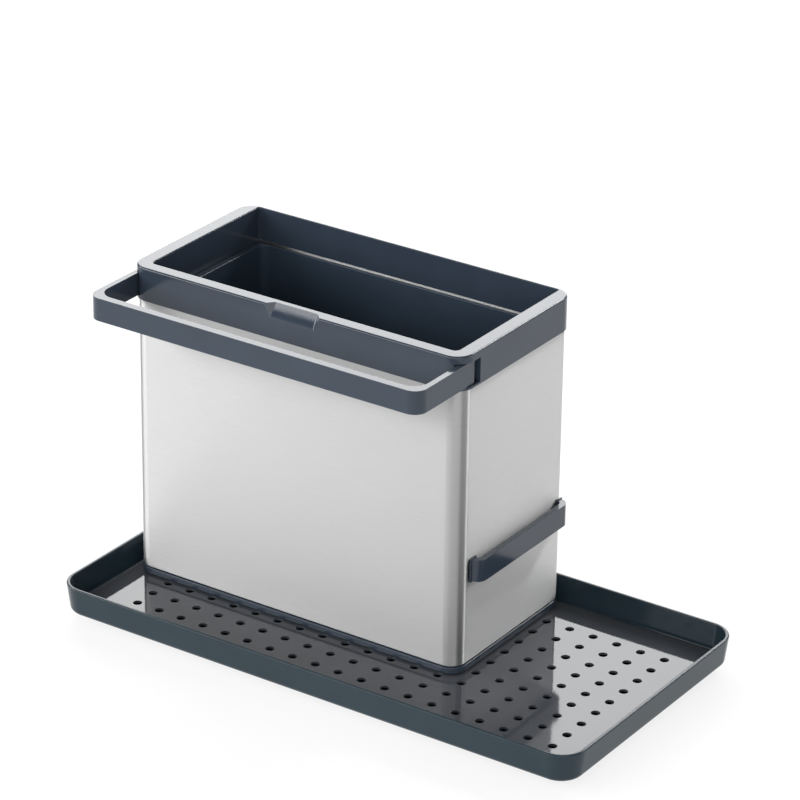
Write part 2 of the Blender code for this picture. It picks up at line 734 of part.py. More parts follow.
def liner_profile():
    """Section of the liner, from under its floor, over its top, to the floor."""
    quarter = math.pi / 2
    lean = math.tan(LINER_DRAFT)
    bottom = BASE_UPSTAND_TOP + LINER_FLOOR_GAP
    heel_height = bottom + LINER_HEEL_ROUND
    drop = LINER_TOP - heel_height
    heel_inset = drop * lean + LINER_HEEL_ROUND
    inner_round = LINER_HEEL_ROUND - LINER_WALL
    floor_top = bottom + LINER_FLOOR
    toe_height = floor_top + inner_round
    toe_inset = LINER_WALL + (LINER_TOP - toe_height) * lean + inner_round
    profile = arc((heel_inset, heel_height), LINER_HEEL_ROUND, 3 * quarter, 2 * quarter, FILLET_STEPS)
    profile.append((0, LINER_TOP))
    profile.append((LINER_WALL, LINER_TOP))
    profile += arc((toe_inset, toe_height), inner_round, 2 * quarter, 3 * quarter, FILLET_STEPS)
    return profile


def make_liner(parts, tools, frame):
    """The removable liner, hung by its lip on the collar's ledge."""
    half_width = OPENING_HALF_WIDTH - LEDGE_WIDTH - CLEARANCE
    front = OPENING_FRONT + LEDGE_WIDTH + CLEARANCE
    back = OPENING_BACK - CLEARANCE
    size = (2 * half_width, back - front)
    material = finish_material("anthracite_liner")
    liner = loft("liner", size, LINER_CORNER, liner_profile(), parts, material)
    liner.parent = frame
    liner.location = (0, (front + back) / 2, 0)
    low = (CLEARANCE - OPENING_HALF_WIDTH, OPENING_FRONT + CLEARANCE)
    high = (-low[0], back)
    radius = COLLAR_FRONT_CORNER - CLEARANCE
    outer = rounded_outline(low, high, radius, COLLAR_BACK_CORNER)
    half_wall = LINER_WALL / 2
    inner_low = (half_wall - half_width, front + half_wall)
    inner_high = (half_width - half_wall, back - half_wall)
    corner = LINER_CORNER - half_wall
    inner = rounded_outline(inner_low, inner_high, corner, corner)
    lip = slab("liner_lip", [outer, inner], LINER_TOP - LINER_LIP, LINER_TOP, tools)
    combine(liner, as_tool(lip, frame), "UNION")
    shade(liner)


def rail_outline():
    """Plan outline of the rail's bar and arms, from the end of the right arm."""
    quarter = math.pi / 2
    outer_x = COLLAR_HALF_WIDTH - ARM_RECESS
    inner_x = outer_x - ARM_THICKNESS
    front = SLEEVE_FRONT - RAIL_REACH
    inner_front = front + RAIL_THICKNESS
    end = SLEEVE_FRONT + ARM_OVERLAP
    nose = ARM_THICKNESS / 2
    right = [(inner_x, end)]
    right += arc((outer_x - nose, end - nose), nose, quarter, 0, FILLET_STEPS)
    centre = (outer_x - RAIL_CORNER, front + RAIL_CORNER)
    right += arc(centre, RAIL_CORNER, 0, -quarter, CORNER_STEPS)
    left = [(-x, y) for x, y in reversed(right)]
    reach = inner_x - RAIL_INNER_CORNER
    inner_left = (-reach, inner_front + RAIL_INNER_CORNER)
    inner_right = (reach, inner_front + RAIL_INNER_CORNER)
    inside = arc(inner_left, RAIL_INNER_CORNER, 2 * quarter, 3 * quarter, FILLET_STEPS)
    inside += arc(inner_right, RAIL_INNER_CORNER, -quarter, 0, FILLET_STEPS)
    return right + left + inside


def make_rail(parts, tools, frame):
    """The towel rail, whose tongues slide in the collar's channels."""
    material = finish_material("anthracite_gloss")
    rail = slab("towel_rail", [rail_outline()], RAIL_BOTTOM, RAIL_TOP, parts, material)
    rail.parent = frame
    round_edges(rail, RAIL_EDGE_ROUND)
    inner = CHANNEL_INNER + CLEARANCE
    root = SLEEVE_FRONT + ARM_OVERLAP - ARM_THICKNESS
    for side, word in ((-1, "left"), (1, "right")):
        ends = sorted((side * inner, side * (inner + TONGUE_THICKNESS)))
        low = (ends[0], root, RAIL_BOTTOM + RAIL_EDGE_ROUND)
        high = (ends[1], TONGUE_BACK, RAIL_TOP - RAIL_EDGE_ROUND)
        tongue = box(f"{word}_tongue", low, high, tools)
        combine(rail, as_tool(tongue, frame), "UNION")
    shade(rail)


def bar_outline():
    """Plan outline of the side bar, a U that opens towards the sleeve."""
    quarter = math.pi / 2
    root = SLEEVE_WIDTH / 2 + CLEARANCE
    outer = SLEEVE_WIDTH / 2 + BAR_STANDOFF
    inner = outer - BAR_THICKNESS
    front = SLEEVE_FRONT + BAR_FRONT
    back = front + BAR_LENGTH
    reach = outer - BAR_CORNER
    points = [(root, front)]
    points += arc((reach, front + BAR_CORNER), BAR_CORNER, -quarter, 0, CORNER_STEPS)
    points += arc((reach, back - BAR_CORNER), BAR_CORNER, 0, quarter, CORNER_STEPS)
    points.append((root, back))
    points.append((root, back - BAR_THICKNESS))
    reach = inner - BAR_INNER_CORNER
    far = back - BAR_THICKNESS - BAR_INNER_CORNER
    near = front + BAR_THICKNESS + BAR_INNER_CORNER
    points += arc((reach, far), BAR_INNER_CORNER, quarter, 0, FILLET_STEPS)
    points += arc((reach, near), BAR_INNER_CORNER, 0, -quarter, FILLET_STEPS)
    points.append((root, front + BAR_THICKNESS))
    return points


def tab_levels():
    """Bottom and top of the bar's tabs, centred on the bar's height."""
    middle = SLEEVE_BOTTOM + BAR_RISE + BAR_HEIGHT / 2
    return middle - TAB_HEIGHT / 2, middle + TAB_HEIGHT / 2


def tab_outline(middle):
    """Plan outline of a tab that passes the sleeve's wall and hooks behind it."""
    half = TAB_THICKNESS / 2
    face = SLEEVE_WIDTH / 2
    behind = face - SLEEVE_WALL - CLEARANCE
    tip = behind - TAB_REACH
    root = face + CLEARANCE + TAB_THICKNESS
    points = [(root, middle - half), (root, middle + half), (behind, middle + half)]
    points.append((behind, middle + half + TAB_HOOK))
    points.append((tip, middle + half))
    points.append((tip, middle - half))
    return points


def foot_plate_tools(tools, frame):
    """Thin plates at the roots of the bar's legs, flat against the sleeve."""
    root = SLEEVE_WIDTH / 2 + CLEARANCE
    front = SLEEVE_FRONT + BAR_FRONT
    back = front + BAR_LENGTH
    bottom = SLEEVE_BOTTOM + BAR_RISE - FOOT_PLATE_PROUD
    top = SLEEVE_BOTTOM + BAR_RISE + BAR_HEIGHT + FOOT_PLATE_PROUD
    plates = []
    for index, near in enumerate((front, back - BAR_THICKNESS)):
        low = (root, near - FOOT_PLATE_REACH, bottom)
        high = (root + FOOT_PLATE_THICKNESS, near + BAR_THICKNESS + FOOT_PLATE_REACH, top)
        plates.append(as_tool(box(f"foot_plate_{index + 1}", low, high, tools), frame))
    return plates


def make_side_bar(parts, tools, frame):
    """The bar clipped through two slots in the right side of the sleeve."""
    bottom = SLEEVE_BOTTOM + BAR_RISE
    material = finish_material("anthracite_gloss")
    bar = slab("side_bar", [bar_outline()], bottom, bottom + BAR_HEIGHT, parts, material)
    bar.parent = frame
    round_edges(bar, BAR_EDGE_ROUND)
    for plate in foot_plate_tools(tools, frame):
        combine(bar, plate, "UNION")
    low, high = tab_levels()
    for index, middle in enumerate(bar_leg_middles()):
        tab = slab(f"bar_tab_{index + 1}", [tab_outline(middle)], low, high, tools)
        combine(bar, as_tool(tab, frame), "UNION")
    shade(bar)


def main():
    """Build the tray, the plate and the caddy that stands on it."""
    clear_scene()
    parts = new_collection("sink_organizer")
    tools = new_collection("cutters")
    frame = bpy.data.objects.new("caddy_frame", None)
    parts.objects.link(frame)
    frame.location = (CADDY_X, CADDY_Y, CADDY_Z)
    make_tray(parts, tools)
    make_tray_feet(parts)
    make_plate(parts)
    make_base(parts, tools, frame)
    make_base_pads(parts, frame)
    make_sleeve(parts, tools, frame)
    make_collar(parts, tools, frame)
    make_liner(parts, tools, frame)
    make_rail(parts, tools, frame)
    make_side_bar(parts, tools, frame)
    bpy.context.view_layer.update()


main()
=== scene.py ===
# Looks of the sink organizer: a finer mesh for each CAD piece on the same sizes, procedural
# finishes, and a pale studio round it. Units are metres, in the axes of the CAD frame.

import math

import bmesh
import bpy
from mathutils import Matrix, Vector


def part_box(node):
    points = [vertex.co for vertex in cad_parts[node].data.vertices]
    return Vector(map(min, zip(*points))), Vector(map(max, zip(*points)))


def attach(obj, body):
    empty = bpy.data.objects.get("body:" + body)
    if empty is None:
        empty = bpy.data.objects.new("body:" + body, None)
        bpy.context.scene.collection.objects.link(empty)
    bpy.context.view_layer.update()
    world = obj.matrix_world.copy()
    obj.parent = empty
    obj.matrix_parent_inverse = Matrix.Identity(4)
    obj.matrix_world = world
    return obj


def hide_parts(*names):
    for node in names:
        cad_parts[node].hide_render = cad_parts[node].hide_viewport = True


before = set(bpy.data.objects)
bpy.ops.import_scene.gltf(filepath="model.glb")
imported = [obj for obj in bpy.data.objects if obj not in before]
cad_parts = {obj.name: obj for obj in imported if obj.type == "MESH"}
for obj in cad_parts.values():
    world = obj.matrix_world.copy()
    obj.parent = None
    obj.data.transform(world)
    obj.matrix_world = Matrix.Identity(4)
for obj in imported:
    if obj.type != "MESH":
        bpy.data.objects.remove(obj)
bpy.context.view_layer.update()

# Gap between pieces, weld distance of vertices, least radius of a corner that is drawn in,
# and how far a cutter runs past a face
CLEARANCE = 0.0003
WELD = 0.000002
LEAST_RADIUS = 0.00002
OVERRUN = 0.002
SMOOTH_ANGLE = math.radians(35)
FLAT_ANGLE = math.radians(0.5)
QUARTER = math.pi / 2
TURN = 2 * math.pi

# Facets of the round stretches
CORNER_STEPS = 18
FILLET_STEPS = 8
HOLE_SIDES = 32
DISC_SIDES = 56
STUD_SIDES = 24
EDGE_STEPS = 3
BAR_EDGE_STEPS = 4
RAIL_EDGE_STEPS = 5

# Drip tray
TRAY_CORNER = 0.013
TRAY_WALL = 0.00185
TRAY_DRAFT = math.radians(6.5)
TRAY_EDGE_ROUND = 0.0007
TRAY_HEEL_ROUND = 0.003
TRAY_TOE_ROUND = 0.0014
WELL_INSET = 0.010
WELL_DROP = 0.0025
WELL_WALL = 0.0016
WELL_ROUND = 0.0006
STUD_RADIUS = 0.003
STUD_COLUMNS = 5
STUD_ROWS = 3

# Feet and pads, four of each
SOLE_COUNT = 4
SOLE_ROUND = 0.0003
SOLE_GROOVE_SHARES = (0.42, 0.62)
SOLE_GROOVE_DEPTH = 0.00015

# Perforated drip plate
HOLE_RADIUS = 0.0022
HOLE_PITCH = 0.013
HOLE_ROW_PITCH = 0.0122
HOLE_LEFT_MARGIN = 0.0241
HOLE_RIGHT_MARGIN = 0.018
HOLE_FRONT_MARGIN = 0.0187
HOLE_BACK_MARGIN = 0.018
PLATE_EDGE_ROUND = 0.0004

# Steel sleeve
SLEEVE_CORNER = 0.008
SLEEVE_WALL = 0.0006
HEM_WIDTH = 0.003
HEM_BEND = 0.0008

# Caddy base
BASE_PROUD = 0.0001
BASE_LEDGE_HEIGHT = 0.0032
BASE_EDGE_ROUND = 0.0005
BASE_NECK_HEIGHT = 0.0003
BASE_NECK_INSET = 0.0014
BASE_FLOOR = 0.002
BASE_UPSTAND_WALL = 0.0018

# Collar
COLLAR_EDGE_ROUND = 0.00025
COLLAR_FRONT_CORNER = 0.0025
COLLAR_BACK_CORNER = 0.0006

# Liner
LINER_WALL = 0.0016
LINER_LIP = 0.0016
LINER_LIP_ROUND = 0.0004
LINER_FLOOR = 0.002
LINER_CORNER = 0.006
LINER_HEEL_ROUND = 0.004
LINER_DRAFT = math.radians(0.6)
LEDGE_WIDTH = 0.002

# Towel rail
RAIL_THICKNESS = 0.004
RAIL_CORNER = 0.0065
RAIL_INNER_CORNER = 0.0078
RAIL_EDGE_ROUND = 0.0006
ARM_THICKNESS = 0.0029
ARM_OVERLAP = 0.0116
TONGUE_THICKNESS = 0.0022
TONGUE_SETBACK = 0.0014

# Bar on the right side of the sleeve
BAR_THICKNESS = 0.003
BAR_CORNER = 0.005
BAR_INNER_CORNER = 0.002
BAR_EDGE_ROUND = 0.0005
TAB_THICKNESS = 0.0014
TAB_HEIGHT = 0.007
TAB_HOOK = 0.0006
FOOT_PLATE_THICKNESS = 0.0008
FOOT_PLATE_REACH = 0.0009
FOOT_PLATE_PROUD = 0.0006
FOOT_PLATE_ROUND = 0.0002

# Camera, fitted to the straight edges in the photograph
CAMERA_TARGET = (0.0195, -0.0265, 0.1411)
CAMERA_DISTANCE = 1.760
CAMERA_LENS = 176.09
CAMERA_SENSOR = 36.0
CAMERA_PITCH = math.radians(25.060)
CAMERA_ROLL = math.radians(-0.765)
CAMERA_YAW = math.radians(33.943)

# Noises: features to the metre, detail, and roughness where it isn't a half
MOTTLE_NOISE = (35, 3)
RUB_NOISE = (220, 4, 0.6)
WIPE_NOISE = (60, 5, 0.65)
WAVE_NOISE = (45, 2)
PEEL_NOISE = (1100, 2)
HAIR_NOISE = (1, 2, 0.6)
STREAK_NOISE = (1, 3, 0.6)
CLOUD_NOISE = (14, 3)
DUST_NOISE = (180, 4)
SKIN_NOISE = (2500, 2)
FLOOR_NOISE = (3, 2)

# Ranges: the whole one, and the parts of a noise that are spread over another range
WHOLE = (0.0, 1.0)
NOISE_RANGE = (0.3, 0.7)
WIPE_RANGE = (0.35, 0.75)
DUST_RANGE = (0.35, 0.7)
WHITE = (1.0, 1.0, 1.0, 1.0)

# Plastic finishes: colour, colour where it is rubbed, range of roughness, strength of the
# orange peel and of the flow waves, and specular level
GLOSS = ((0.028, 0.039, 0.056, 1.0), (0.08, 0.09, 0.11, 1.0), (0.08, 0.17), 0.25, 0.05, 0.5)
TRAY_GLOSS = ((0.017, 0.030, 0.040, 1.0), (0.07, 0.09, 0.10, 1.0), (0.10, 0.20), 0.25, 0.04, 0.32)
PLATE_GLOSS = ((0.052, 0.056, 0.064, 1.0), (0.10, 0.11, 0.12, 1.0), (0.03, 0.09), 0.10, 0.03, 0.57)
LINER_SATIN = ((0.028, 0.042, 0.062, 1.0), (0.07, 0.08, 0.10, 1.0), (0.28, 0.40), 0.5, 0.02, 0.5)
PLASTIC_IOR = 1.42
MOTTLE_SHADE = 0.85
WIPE_STRETCH = (1, 0.35, 1)
WAVE_HEIGHT = 0.001
PEEL_HEIGHT = 0.00005

# Rubbed edges: reach and samples of the edge finder, its range, and what rubbing does
RUB_RADIUS = 0.0007
RUB_SAMPLES = 4
RUB_RANGE = (0.03, 0.25)
RUB_STRENGTH = 0.5
RUB_ROUGHNESS = 0.18

# Silicone: colours of its skin and its dust, share of dust, and roughness
SILICONE_SKIN = (0.075, 0.078, 0.085, 1.0)
SILICONE_DUST = (0.16, 0.16, 0.165, 1.0)
DUST_SHARES = (0.0, 0.5)
SILICONE_ROUGHNESS = (0.62, 0.82)
SKIN_HEIGHT = 0.00003
SKIN_STRENGTH = 0.4

# Brushed steel: colours of its grain, roughness, and how far the grain is drawn out
STEEL_DARK = (0.41, 0.41, 0.41, 1.0)
STEEL_LIGHT = (0.49, 0.49, 0.49, 1.0)
STEEL_CLOUD = (0.41, 0.41, 0.414, 1.0)
STEEL_ROUGHNESS = (0.43, 0.49)
STEEL_ANISOTROPY = 0.97
STEEL_GRAIN_TURN = 0.25
HAIR_STRETCH = (160, 14000, 1)
STREAK_STRETCH = (40, 2600, 1)
HAIR_SHARE = 0.5
CLOUD_SHARES = (0.0, 0.2)
GRAIN_HEIGHT = 0.00002
GRAIN_STRENGTH = 0.2

# Studio: floor, room and lights. A light has an azimuth anticlockwise from +X and an elevation,
# both in degrees, a distance, a width, a height and a radiance.
FLOOR_REACH = 8.0
FLOOR_TONES = (0.15, 0.17)
FLOOR_GLOW = 0.80
FLOOR_ROUGHNESS = 0.85
FLOOR_SPECULAR = 0.2
ROOM_STRENGTH = 0.36
LIGHTS = {
    "backdrop": (124, 27, 1.6, 1.7, 1.1, 4.9),
    "front_left_box": (213, 20, 2.6, 2.3, 1.3, 6.8),
    "back_right_box": (60, 20, 2.4, 1.0, 1.1, 2.2),
    "right_strip": (29, 14, 1.5, 0.14, 0.6, 17.0),
    "high_right_box": (78, 38, 1.8, 0.42, 0.24, 24.0),
    "front_fill": (258, 20, 2.2, 1.5, 1.1, 3.5),
    "side_fill": (308, 20, 2.2, 2.4, 1.1, 2.4),
}
LIGHT_AIM = (0, 0, 0.08)


def arc(centre, radius, start, end, steps):
    """Points on an arc between two angles, both ends included."""
    points = []
    for step in range(steps + 1):
        angle = start + (end - start) * step / steps
        points.append((centre[0] + radius * math.cos(angle), centre[1] + radius * math.sin(angle)))
    return points


def rounded_outline(low, high, front_radius, back_radius):
    """Plan outline of a rounded rectangle, anticlockwise from its right side."""
    corners = (
        ((high[0] - back_radius, high[1] - back_radius), back_radius, 0),
        ((low[0] + back_radius, high[1] - back_radius), back_radius, QUARTER),
        ((low[0] + front_radius, low[1] + front_radius), front_radius, 2 * QUARTER),
        ((high[0] - front_radius, low[1] + front_radius), front_radius, 3 * QUARTER),
    )
    points = []
    for centre, radius, start in corners:
        points += arc(centre, radius, start, start + QUARTER, CORNER_STEPS)
    return points


def inset_loop(low, high, corner, inset, height):
    """A rounded rectangle drawn in by an inset, with its corners, at a height."""
    radius = max(corner - inset, LEAST_RADIUS)
    inner_low = (low[0] + inset, low[1] + inset)
    inner_high = (high[0] - inset, high[1] - inset)
    return [(x, y, height) for x, y in rounded_outline(inner_low, inner_high, radius, radius)]


def new_piece(name, build):
    """Make an object from a bmesh, with smooth round faces and sharp true edges."""
    bmesh.ops.remove_doubles(build, verts=build.verts, dist=WELD)
    bmesh.ops.recalc_face_normals(build, faces=build.faces)
    mesh = bpy.data.meshes.new(name)
    build.to_mesh(mesh)
    build.free()
    mesh.shade_smooth()
    mesh.set_sharp_from_angle(angle=SMOOTH_ANGLE)
    piece = bpy.data.objects.new(name, mesh)
    bpy.context.scene.collection.objects.link(piece)
    return piece


def skin(name, loops, ring=False):
    """Face the stretches between loops of equal length.

    The map "grain" gives the distance round the piece and along its section.
    """
    build = bmesh.new()
    grain = build.loops.layers.uv.new("grain")
    rings = [[build.verts.new(point) for point in loop] for loop in loops]
    count = len(rings[0])
    widest = max(loops, key=lambda loop: max(point[0] for point in loop))
    around = [0.0]
    for index in range(count):
        step = Vector(widest[(index + 1) % count]) - Vector(widest[index])
        around.append(around[-1] + step.length)
    pairs = list(zip(range(len(rings)), range(1, len(rings))))
    if ring:
        pairs.append((len(rings) - 1, 0))
    else:
        build.faces.new(rings[0])
        build.faces.new(rings[-1])
    along = 0.0
    for first, second in pairs:
        lower, upper = rings[first], rings[second]
        rise = (Vector(loops[first][0]) - Vector(loops[second][0])).length
        for index in range(count):
            after = (index + 1) % count
            corners = [lower[index], lower[after], upper[after], upper[index]]
            face = build.faces.new(corners)
            places = (
                (around[index], along),
                (around[index + 1], along),
                (around[index + 1], along + rise),
                (around[index], along + rise),
            )
            for corner, place in zip(face.loops, places):
                corner[grain].uv = place
        along += rise
    return new_piece(name, build)


def loft(name, low, high, corner, profile, ring=False):
    """Run a profile of (inset, height) points round a rounded rectangle."""
    loops = [inset_loop(low, high, corner, inset, height) for inset, height in profile]
    return skin(name, loops, ring)


def slab(name, outlines, bottom, top):
    """Fill flat outlines, the first one outside and the rest as holes."""
    curve = bpy.data.curves.new(name, "CURVE")
    curve.dimensions = "2D"
    curve.fill_mode = "BOTH"
    curve.extrude = (top - bottom) / 2
    for outline in outlines:
        spline = curve.splines.new("POLY")
        spline.points.add(len(outline) - 1)
        for point, (x, y) in zip(spline.points, outline):
            point.co = (x, y, 0, 1)
        spline.use_cyclic_u = True
    guide = bpy.data.objects.new(name, curve)
    bpy.context.scene.collection.objects.link(guide)
    bpy.context.view_layer.update()
    graph = bpy.context.evaluated_depsgraph_get()
    mesh = bpy.data.meshes.new_from_object(guide.evaluated_get(graph))
    bpy.data.objects.remove(guide, do_unlink=True)
    bpy.data.curves.remove(curve)
    build = bmesh.new()
    build.from_mesh(mesh)
    bpy.data.meshes.remove(mesh)
    bmesh.ops.translate(build, verts=build.verts, vec=(0, 0, (top + bottom) / 2))
    return new_piece(name, build)


def box(name, low, high):
    """Make a box between two corners, to cut with or to join on."""
    outline = [(low[0], low[1]), (high[0], low[1]), (high[0], high[1]), (low[0], high[1])]
    return slab(name, [outline], low[2], high[2])


def discs(name, places, radius, bottom, top, sides):
    """Make one tool from an upright cylinder at each place."""
    build = bmesh.new()
    for x, y in places:
        made = bmesh.ops.create_cone(
            build, cap_ends=True, segments=sides, radius1=radius, radius2=radius, depth=top - bottom
        )
        bmesh.ops.translate(build, verts=made["verts"], vec=(x, y, (top + bottom) / 2))
    return new_piece(name, build)


def apply_modifiers(piece):
    """Keep the mesh that a piece's modifiers give, and drop the modifiers."""
    bpy.context.view_layer.update()
    graph = bpy.context.evaluated_depsgraph_get()
    mesh = bpy.data.meshes.new_from_object(
        piece.evaluated_get(graph), preserve_all_data_layers=True, depsgraph=graph
    )
    piece.modifiers.clear()
    piece.data = mesh


def combine(piece, tool, operation):
    """Cut a tool from a piece, or join it on, and remove the tool."""
    modifier = piece.modifiers.new(operation.lower(), "BOOLEAN")
    modifier.operation = operation
    modifier.solver = "EXACT"
    modifier.object = tool
    apply_modifiers(piece)
    bpy.data.objects.remove(tool, do_unlink=True)
    piece.data.shade_smooth()
    piece.data.set_sharp_from_angle(angle=SMOOTH_ANGLE)


def round_edges(piece, width, segments=EDGE_STEPS):
    """Round the sharp edges of a piece."""
    modifier = piece.modifiers.new("rounded_edges", "BEVEL")
    modifier.width = width
    modifier.segments = segments
    modifier.limit_method = "ANGLE"
    modifier.angle_limit = SMOOTH_ANGLE
    modifier.use_clamp_overlap = True
    apply_modifiers(piece)
    piece.data.shade_smooth()
    piece.data.set_sharp_from_angle(angle=SMOOTH_ANGLE)


def even_normals(piece):
    """Let large flat faces keep straight reflections beside small round ones."""
    modifier = piece.modifiers.new("even_normals", "WEIGHTED_NORMAL")
    modifier.keep_sharp = True
    apply_modifiers(piece)


def stand_for(piece, node, body, material):
    """Give a piece its finish, and let it stand for its CAD node."""
    piece.data.materials.clear()
    piece.data.materials.append(material)
    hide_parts(node)
    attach(piece, body)


def add(tree, kind, inputs=None, **settings):
    """Add a node, set its fields, and set or link its inputs."""
    made = tree.nodes.new(kind)
    for key, value in settings.items():
        setattr(made, key, value)
    for socket, value in (inputs or {}).items():
        if isinstance(value, bpy.types.NodeSocket):
            tree.links.new(value, made.inputs[socket])
        else:
            made.inputs[socket].default_value = value
    return made


def new_material(name):
    """Make an empty material and return it with its tree and shader."""
    material = bpy.data.materials.new(name)
    material.use_nodes = True
    tree = material.node_tree
    tree.nodes.clear()
    shader = add(tree, "ShaderNodeBsdfPrincipled")
    output = add(tree, "ShaderNodeOutputMaterial")
    tree.links.new(shader.outputs["BSDF"], output.inputs["Surface"])
    return material, tree, shader


def noise(tree, place, scale, detail, roughness=0.5, stretch=(1, 1, 1)):
    """Noise on a place, whose scale is in features to the metre."""
    mapping = add(tree, "ShaderNodeMapping", {"Vector": place, "Scale": stretch})
    texture = add(
        tree, "ShaderNodeTexNoise",
        {"Vector": mapping.outputs["Vector"], "Scale": scale, "Detail": detail, "Roughness": roughness},
    )
    return texture.outputs["Fac"]


def spread(tree, value, source, target):
    """Map a range of values to another one."""
    inputs = {
        "Value": value,
        "From Min": source[0],
        "From Max": source[1],
        "To Min": target[0],
        "To Max": target[1],
    }
    return add(tree, "ShaderNodeMapRange", inputs).outputs["Result"]


def blend_colours(tree, share, first, second):
    """Mix two colours by a share. Inputs 6 and 7 and output 2 are the node's colour sockets."""
    mixer = add(tree, "ShaderNodeMix", {0: share}, data_type="RGBA")
    for socket, value in ((6, first), (7, second)):
        if isinstance(value, bpy.types.NodeSocket):
            tree.links.new(value, mixer.inputs[socket])
        else:
            mixer.inputs[socket].default_value = value
    return mixer.outputs[2]


def combine_values(tree, operation, first, second):
    """Put two values together."""
    return add(tree, "ShaderNodeMath", {0: first, 1: second}, operation=operation).outputs[0]


def edge_share(tree):
    """How near a place is to a convex or concave edge, from 0 to 1."""
    bevel = add(tree, "ShaderNodeBevel", {"Radius": RUB_RADIUS}, samples=RUB_SAMPLES)
    geometry = add(tree, "ShaderNodeNewGeometry")
    dot = add(
        tree, "ShaderNodeVectorMath",
        {0: bevel.outputs["Normal"], 1: geometry.outputs["True Normal"]}, operation="DOT_PRODUCT",
    )
    turned = combine_values(tree, "SUBTRACT", 1.0, dot.outputs["Value"])
    return spread(tree, turned, RUB_RANGE, WHOLE)


def bump(tree, height, distance, strength, under=None):
    """Raise a surface by a height, over an earlier bump."""
    inputs = {"Height": height, "Distance": distance, "Strength": strength}
    if under is not None:
        inputs["Normal"] = under
    return add(tree, "ShaderNodeBump", inputs).outputs["Normal"]


def moulded_plastic(name, colour, worn_colour, roughness, peel, waves, specular):
    """Moulded plastic: faint flow mottle, orange peel, wipe marks and rubbed edges."""
    material, tree, shader = new_material(name)
    place = add(tree, "ShaderNodeTexCoord").outputs["Object"]
    mottle = spread(tree, noise(tree, place, *MOTTLE_NOISE), NOISE_RANGE, WHOLE)
    darker = tuple(MOTTLE_SHADE * value for value in colour[:3]) + (1.0,)
    body = blend_colours(tree, mottle, darker, colour)
    rub = noise(tree, place, *RUB_NOISE)
    rubbed = combine_values(tree, "MULTIPLY", edge_share(tree), rub)
    rubbed = combine_values(tree, "MULTIPLY", rubbed, RUB_STRENGTH)
    tree.links.new(blend_colours(tree, rubbed, body, worn_colour), shader.inputs["Base Color"])
    wipes = noise(tree, place, *WIPE_NOISE, stretch=WIPE_STRETCH)
    worn = spread(tree, wipes, WIPE_RANGE, roughness)
    rougher = combine_values(tree, "MULTIPLY", rubbed, RUB_ROUGHNESS)
    tree.links.new(combine_values(tree, "ADD", worn, rougher), shader.inputs["Roughness"])
    skin_normal = bump(tree, noise(tree, place, *WAVE_NOISE), WAVE_HEIGHT, waves)
    skin_normal = bump(tree, noise(tree, place, *PEEL_NOISE), PEEL_HEIGHT, peel, skin_normal)
    tree.links.new(skin_normal, shader.inputs["Normal"])
    shader.inputs["IOR"].default_value = PLASTIC_IOR
    shader.inputs["Specular IOR Level"].default_value = specular
    return material


def brushed_steel():
    """Stainless sheet, brushed round the body: hairlines, long streaks and faint clouds."""
    material, tree, shader = new_material("brushed_steel_finish")
    place = add(tree, "ShaderNodeUVMap", uv_map="grain").outputs["UV"]
    hairs = noise(tree, place, *HAIR_NOISE, stretch=HAIR_STRETCH)
    streaks = noise(tree, place, *STREAK_NOISE, stretch=STREAK_STRETCH)
    clouds = noise(tree, place, *CLOUD_NOISE)
    fine = combine_values(tree, "MULTIPLY", hairs, HAIR_SHARE)
    coarse = combine_values(tree, "MULTIPLY", streaks, 1 - HAIR_SHARE)
    grain = combine_values(tree, "ADD", fine, coarse)
    tone = spread(tree, grain, NOISE_RANGE, WHOLE)
    metal = blend_colours(tree, tone, STEEL_DARK, STEEL_LIGHT)
    cloudy = spread(tree, clouds, NOISE_RANGE, CLOUD_SHARES)
    tree.links.new(blend_colours(tree, cloudy, metal, STEEL_CLOUD), shader.inputs["Base Color"])
    gloss = spread(tree, grain, NOISE_RANGE, STEEL_ROUGHNESS)
    tree.links.new(gloss, shader.inputs["Roughness"])
    tree.links.new(bump(tree, grain, GRAIN_HEIGHT, GRAIN_STRENGTH), shader.inputs["Normal"])
    tangent = add(tree, "ShaderNodeTangent", direction_type="UV_MAP", uv_map="grain")
    tree.links.new(tangent.outputs["Tangent"], shader.inputs["Tangent"])
    shader.inputs["Metallic"].default_value = 1.0
    shader.inputs["Anisotropic"].default_value = STEEL_ANISOTROPY
    shader.inputs["Anisotropic Rotation"].default_value = STEEL_GRAIN_TURN
    return material


def silicone():
    """Soft grey silicone with a dusty skin."""
    material, tree, shader = new_material("silicone_finish")
    place = add(tree, "ShaderNodeTexCoord").outputs["Object"]
    dust = spread(tree, noise(tree, place, *DUST_NOISE), DUST_RANGE, DUST_SHARES)
    colour = blend_colours(tree, dust, SILICONE_SKIN, SILICONE_DUST)
    tree.links.new(colour, shader.inputs["Base Color"])
    tree.links.new(spread(tree, dust, DUST_SHARES, SILICONE_ROUGHNESS), shader.inputs["Roughness"])
    skin_normal = bump(tree, noise(tree, place, *SKIN_NOISE), SKIN_HEIGHT, SKIN_STRENGTH)
    tree.links.new(skin_normal, shader.inputs["Normal"])
    return material


